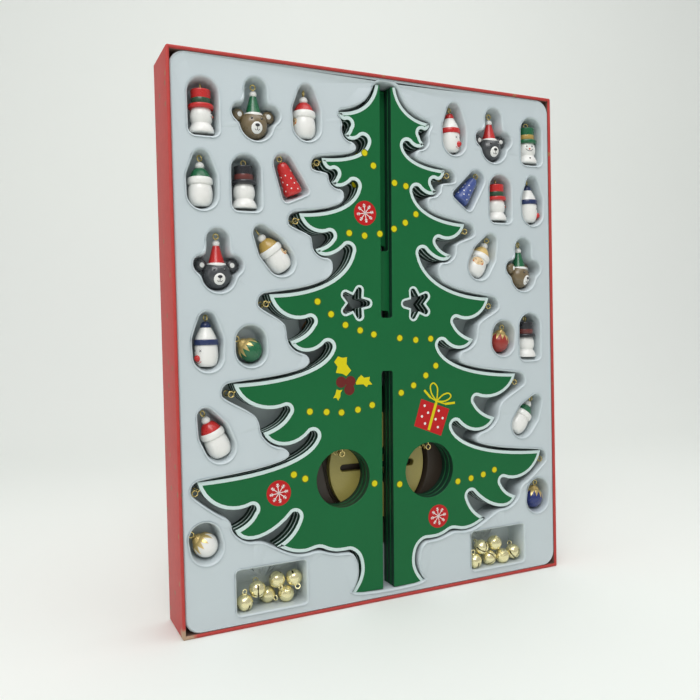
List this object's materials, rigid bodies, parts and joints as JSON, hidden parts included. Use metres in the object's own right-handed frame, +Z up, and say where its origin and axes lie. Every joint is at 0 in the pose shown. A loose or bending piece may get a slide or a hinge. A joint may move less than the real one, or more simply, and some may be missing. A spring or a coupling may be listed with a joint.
{
  "type": "boxed wooden christmas tree set",
  "caption": "Boxed wooden Christmas tree: slotted tree panels, base disc, topper star, turned wood ornaments and jingle bells laid in a formed insert inside an open-fronted card carton.",
  "frame": {"origin": "middle of the carton's underside", "axes": "+Z up the standing carton, +Y towards its back, +X to the right as seen from the front"},
  "size_m": [0.2664, 0.0355, 0.33],
  "materials": {
    "card_red": "printed card, red with small green and tan dots",
    "insert_plastic": "pale grey-blue vacuum-formed sheet",
    "tree_green": "painted board, satin green with white borders",
    "disc_gold": "painted board, olive gold",
    "topper_orange": "painted board, orange brown",
    "brass_wire": "bright brass plate",
    "ornament_red": "gloss paint on turned wood",
    "ornament_green": "gloss paint on turned wood",
    "ornament_black": "gloss paint on turned wood",
    "ornament_blue": "gloss paint on turned wood",
    "ornament_white": "gloss paint on turned wood",
    "ornament_brown": "gloss paint on turned wood",
    "ornament_charcoal": "gloss paint on turned wood",
    "ornament_cream": "gloss paint on turned wood"
  },
  "bodies": {
    "carton": {"carton": "card_red"},
    "insert": {"blister_insert": "insert_plastic"},
    "topper": {"topper_star": "topper_orange"},
    "disc": {"base_disc": "disc_gold"},
    "panel_back": {"tree_panel_back": "tree_green"},
    "panel_middle": {"tree_panel_middle": "tree_green"},
    "panel_front": {"tree_panel_front": "tree_green", "screw_eye_left_tier_2": "brass_wire", "screw_eye_left_tier_3": "brass_wire", "screw_eye_left_tier_4": "brass_wire", "screw_eye_left_tier_5": "brass_wire", "screw_eye_left_tier_6": "brass_wire", "screw_eye_left_hole": "brass_wire", "screw_eye_right_tier_2": "brass_wire", "screw_eye_right_tier_3": "brass_wire", "screw_eye_right_tier_4": "brass_wire", "screw_eye_right_tier_5": "brass_wire", "screw_eye_right_tier_6": "brass_wire", "screw_eye_right_hole": "brass_wire"},
    "snowman_red_top_hat": {"snowman_red_top_hat": "ornament_white"},
    "bear_green_hat": {"bear_green_hat": "ornament_brown"},
    "beard_head_red_hat": {"beard_head_red_hat": "ornament_red"},
    "snowman_green_pom_hat": {"snowman_green_pom_hat": "ornament_green"},
    "snowman_black_top_hat": {"snowman_black_top_hat": "ornament_black"},
    "cone_bell_red": {"cone_bell_red": "ornament_red"},
    "bear_red_hat": {"bear_red_hat": "ornament_charcoal"},
    "beard_head_gold_hat": {"beard_head_gold_hat": "ornament_cream"},
    "snowman_blue_cap": {"snowman_blue_cap": "ornament_white"},
    "bauble_green": {"bauble_green": "ornament_green"},
    "snowman_red_pom_hat": {"snowman_red_pom_hat": "ornament_red"},
    "bauble_white": {"bauble_white": "ornament_white"},
    "snowman_red_cap": {"snowman_red_cap": "ornament_white"},
    "bear_red_hat_dark": {"bear_red_hat_dark": "ornament_charcoal"},
    "snowman_green_top_hat": {"snowman_green_top_hat": "ornament_green"},
    "cone_bell_blue": {"cone_bell_blue": "ornament_blue"},
    "snowman_red_top_hat_second": {"snowman_red_top_hat_second": "ornament_red"},
    "snowman_blue_cap_second": {"snowman_blue_cap_second": "ornament_white"},
    "beard_head_cream_hat": {"beard_head_cream_hat": "ornament_cream"},
    "bear_green_hat_second": {"bear_green_hat_second": "ornament_brown"},
    "bauble_red": {"bauble_red": "ornament_red"},
    "snowman_black_top_hat_second": {"snowman_black_top_hat_second": "ornament_black"},
    "snowman_green_pom_hat_second": {"snowman_green_pom_hat_second": "ornament_green"},
    "bauble_blue": {"bauble_blue": "ornament_blue"},
    "jingle_bell_left_1": {"jingle_bell_left_1": "brass_wire"},
    "jingle_bell_left_2": {"jingle_bell_left_2": "brass_wire"},
    "jingle_bell_left_3": {"jingle_bell_left_3": "brass_wire"},
    "jingle_bell_left_4": {"jingle_bell_left_4": "brass_wire"},
    "jingle_bell_left_5": {"jingle_bell_left_5": "brass_wire"},
    "jingle_bell_left_6": {"jingle_bell_left_6": "brass_wire"},
    "jingle_bell_right_1": {"jingle_bell_right_1": "brass_wire"},
    "jingle_bell_right_2": {"jingle_bell_right_2": "brass_wire"},
    "jingle_bell_right_3": {"jingle_bell_right_3": "brass_wire"},
    "jingle_bell_right_4": {"jingle_bell_right_4": "brass_wire"},
    "jingle_bell_right_5": {"jingle_bell_right_5": "brass_wire"},
    "jingle_bell_right_6": {"jingle_bell_right_6": "brass_wire"}
  },
  "joints": [
    {"name": "insert_out", "type": "slide", "parent": "carton", "child": "insert", "axis": [0, -1, 0], "range_m": [0, 0.036]},
    {"name": "topper_out", "type": "slide", "parent": "insert", "child": "topper", "axis": [0, -1, 0], "range_m": [0, 0.024]},
    {"name": "disc_out", "type": "slide", "parent": "topper", "child": "disc", "axis": [0, -1, 0], "range_m": [0, 0.024]},
    {"name": "panel_back_out", "type": "slide", "parent": "disc", "child": "panel_back", "axis": [0, -1, 0], "range_m": [0, 0.019]},
    {"name": "panel_middle_out", "type": "slide", "parent": "panel_back", "child": "panel_middle", "axis": [0, -1, 0], "range_m": [0, 0.0145]},
    {"name": "panel_front_out", "type": "slide", "parent": "panel_middle", "child": "panel_front", "axis": [0, -1, 0], "range_m": [0, 0.0095]},
    {"name": "snowman_red_top_hat_out", "type": "slide", "parent": "insert", "child": "snowman_red_top_hat", "axis": [0, -1, 0], "range_m": [0, 0.018]},
    {"name": "bear_green_hat_out", "type": "slide", "parent": "insert", "child": "bear_green_hat", "axis": [0, -1, 0], "range_m": [0, 0.018]},
    {"name": "beard_head_red_hat_out", "type": "slide", "parent": "insert", "child": "beard_head_red_hat", "axis": [0, -1, 0], "range_m": [0, 0.018]},
    {"name": "snowman_green_pom_hat_out", "type": "slide", "parent": "insert", "child": "snowman_green_pom_hat", "axis": [0, -1, 0], "range_m": [0, 0.018]},
    {"name": "snowman_black_top_hat_out", "type": "slide", "parent": "insert", "child": "snowman_black_top_hat", "axis": [0, -1, 0], "range_m": [0, 0.018]},
    {"name": "cone_bell_red_out", "type": "slide", "parent": "insert", "child": "cone_bell_red", "axis": [0, -1, 0], "range_m": [0, 0.018]},
    {"name": "bear_red_hat_out", "type": "slide", "parent": "insert", "child": "bear_red_hat", "axis": [0, -1, 0], "range_m": [0, 0.018]},
    {"name": "beard_head_gold_hat_out", "type": "slide", "parent": "insert", "child": "beard_head_gold_hat", "axis": [0, -1, 0], "range_m": [0, 0.018]},
    {"name": "snowman_blue_cap_out", "type": "slide", "parent": "insert", "child": "snowman_blue_cap", "axis": [0, -1, 0], "range_m": [0, 0.018]},
    {"name": "bauble_green_out", "type": "slide", "parent": "insert", "child": "bauble_green", "axis": [0, -1, 0], "range_m": [0, 0.018]},
    {"name": "snowman_red_pom_hat_out", "type": "slide", "parent": "insert", "child": "snowman_red_pom_hat", "axis": [0, -1, 0], "range_m": [0, 0.018]},
    {"name": "bauble_white_out", "type": "slide", "parent": "insert", "child": "bauble_white", "axis": [0, -1, 0], "range_m": [0, 0.018]},
    {"name": "snowman_red_cap_out", "type": "slide", "parent": "insert", "child": "snowman_red_cap", "axis": [0, -1, 0], "range_m": [0, 0.018]},
    {"name": "bear_red_hat_dark_out", "type": "slide", "parent": "insert", "child": "bear_red_hat_dark", "axis": [0, -1, 0], "range_m": [0, 0.018]},
    {"name": "snowman_green_top_hat_out", "type": "slide", "parent": "insert", "child": "snowman_green_top_hat", "axis": [0, -1, 0], "range_m": [0, 0.018]},
    {"name": "cone_bell_blue_out", "type": "slide", "parent": "insert", "child": "cone_bell_blue", "axis": [0, -1, 0], "range_m": [0, 0.018]},
    {"name": "snowman_red_top_hat_second_out", "type": "slide", "parent": "insert", "child": "snowman_red_top_hat_second", "axis": [0, -1, 0], "range_m": [0, 0.018]},
    {"name": "snowman_blue_cap_second_out", "type": "slide", "parent": "insert", "child": "snowman_blue_cap_second", "axis": [0, -1, 0], "range_m": [0, 0.018]},
    {"name": "beard_head_cream_hat_out", "type": "slide", "parent": "insert", "child": "beard_head_cream_hat", "axis": [0, -1, 0], "range_m": [0, 0.018]},
    {"name": "bear_green_hat_second_out", "type": "slide", "parent": "insert", "child": "bear_green_hat_second", "axis": [0, -1, 0], "range_m": [0, 0.018]},
    {"name": "bauble_red_out", "type": "slide", "parent": "insert", "child": "bauble_red", "axis": [0, -1, 0], "range_m": [0, 0.018]},
    {"name": "snowman_black_top_hat_second_out", "type": "slide", "parent": "insert", "child": "snowman_black_top_hat_second", "axis": [0, -1, 0], "range_m": [0, 0.018]},
    {"name": "snowman_green_pom_hat_second_out", "type": "slide", "parent": "insert", "child": "snowman_green_pom_hat_second", "axis": [0, -1, 0], "range_m": [0, 0.018]},
    {"name": "bauble_blue_out", "type": "slide", "parent": "insert", "child": "bauble_blue", "axis": [0, -1, 0], "range_m": [0, 0.018]},
    {"name": "jingle_bell_left_1_out", "type": "slide", "parent": "insert", "child": "jingle_bell_left_1", "axis": [0, -1, 0], "range_m": [0, 0.02]},
    {"name": "jingle_bell_left_2_out", "type": "slide", "parent": "insert", "child": "jingle_bell_left_2", "axis": [0, -1, 0], "range_m": [0, 0.02]},
    {"name": "jingle_bell_left_3_out", "type": "slide", "parent": "insert", "child": "jingle_bell_left_3", "axis": [0, -1, 0], "range_m": [0, 0.02]},
    {"name": "jingle_bell_left_4_out", "type": "slide", "parent": "insert", "child": "jingle_bell_left_4", "axis": [0, -1, 0], "range_m": [0, 0.02]},
    {"name": "jingle_bell_left_5_out", "type": "slide", "parent": "insert", "child": "jingle_bell_left_5", "axis": [0, -1, 0], "range_m": [0, 0.02]},
    {"name": "jingle_bell_left_6_out", "type": "slide", "parent": "insert", "child": "jingle_bell_left_6", "axis": [0, -1, 0], "range_m": [0, 0.02]},
    {"name": "jingle_bell_right_1_out", "type": "slide", "parent": "insert", "child": "jingle_bell_right_1", "axis": [0, -1, 0], "range_m": [0, 0.02]},
    {"name": "jingle_bell_right_2_out", "type": "slide", "parent": "insert", "child": "jingle_bell_right_2", "axis": [0, -1, 0], "range_m": [0, 0.02]},
    {"name": "jingle_bell_right_3_out", "type": "slide", "parent": "insert", "child": "jingle_bell_right_3", "axis": [0, -1, 0], "range_m": [0, 0.02]},
    {"name": "jingle_bell_right_4_out", "type": "slide", "parent": "insert", "child": "jingle_bell_right_4", "axis": [0, -1, 0], "range_m": [0, 0.02]},
    {"name": "jingle_bell_right_5_out", "type": "slide", "parent": "insert", "child": "jingle_bell_right_5", "axis": [0, -1, 0], "range_m": [0, 0.02]},
    {"name": "jingle_bell_right_6_out", "type": "slide", "parent": "insert", "child": "jingle_bell_right_6", "axis": [0, -1, 0], "range_m": [0, 0.02]}
  ]
}
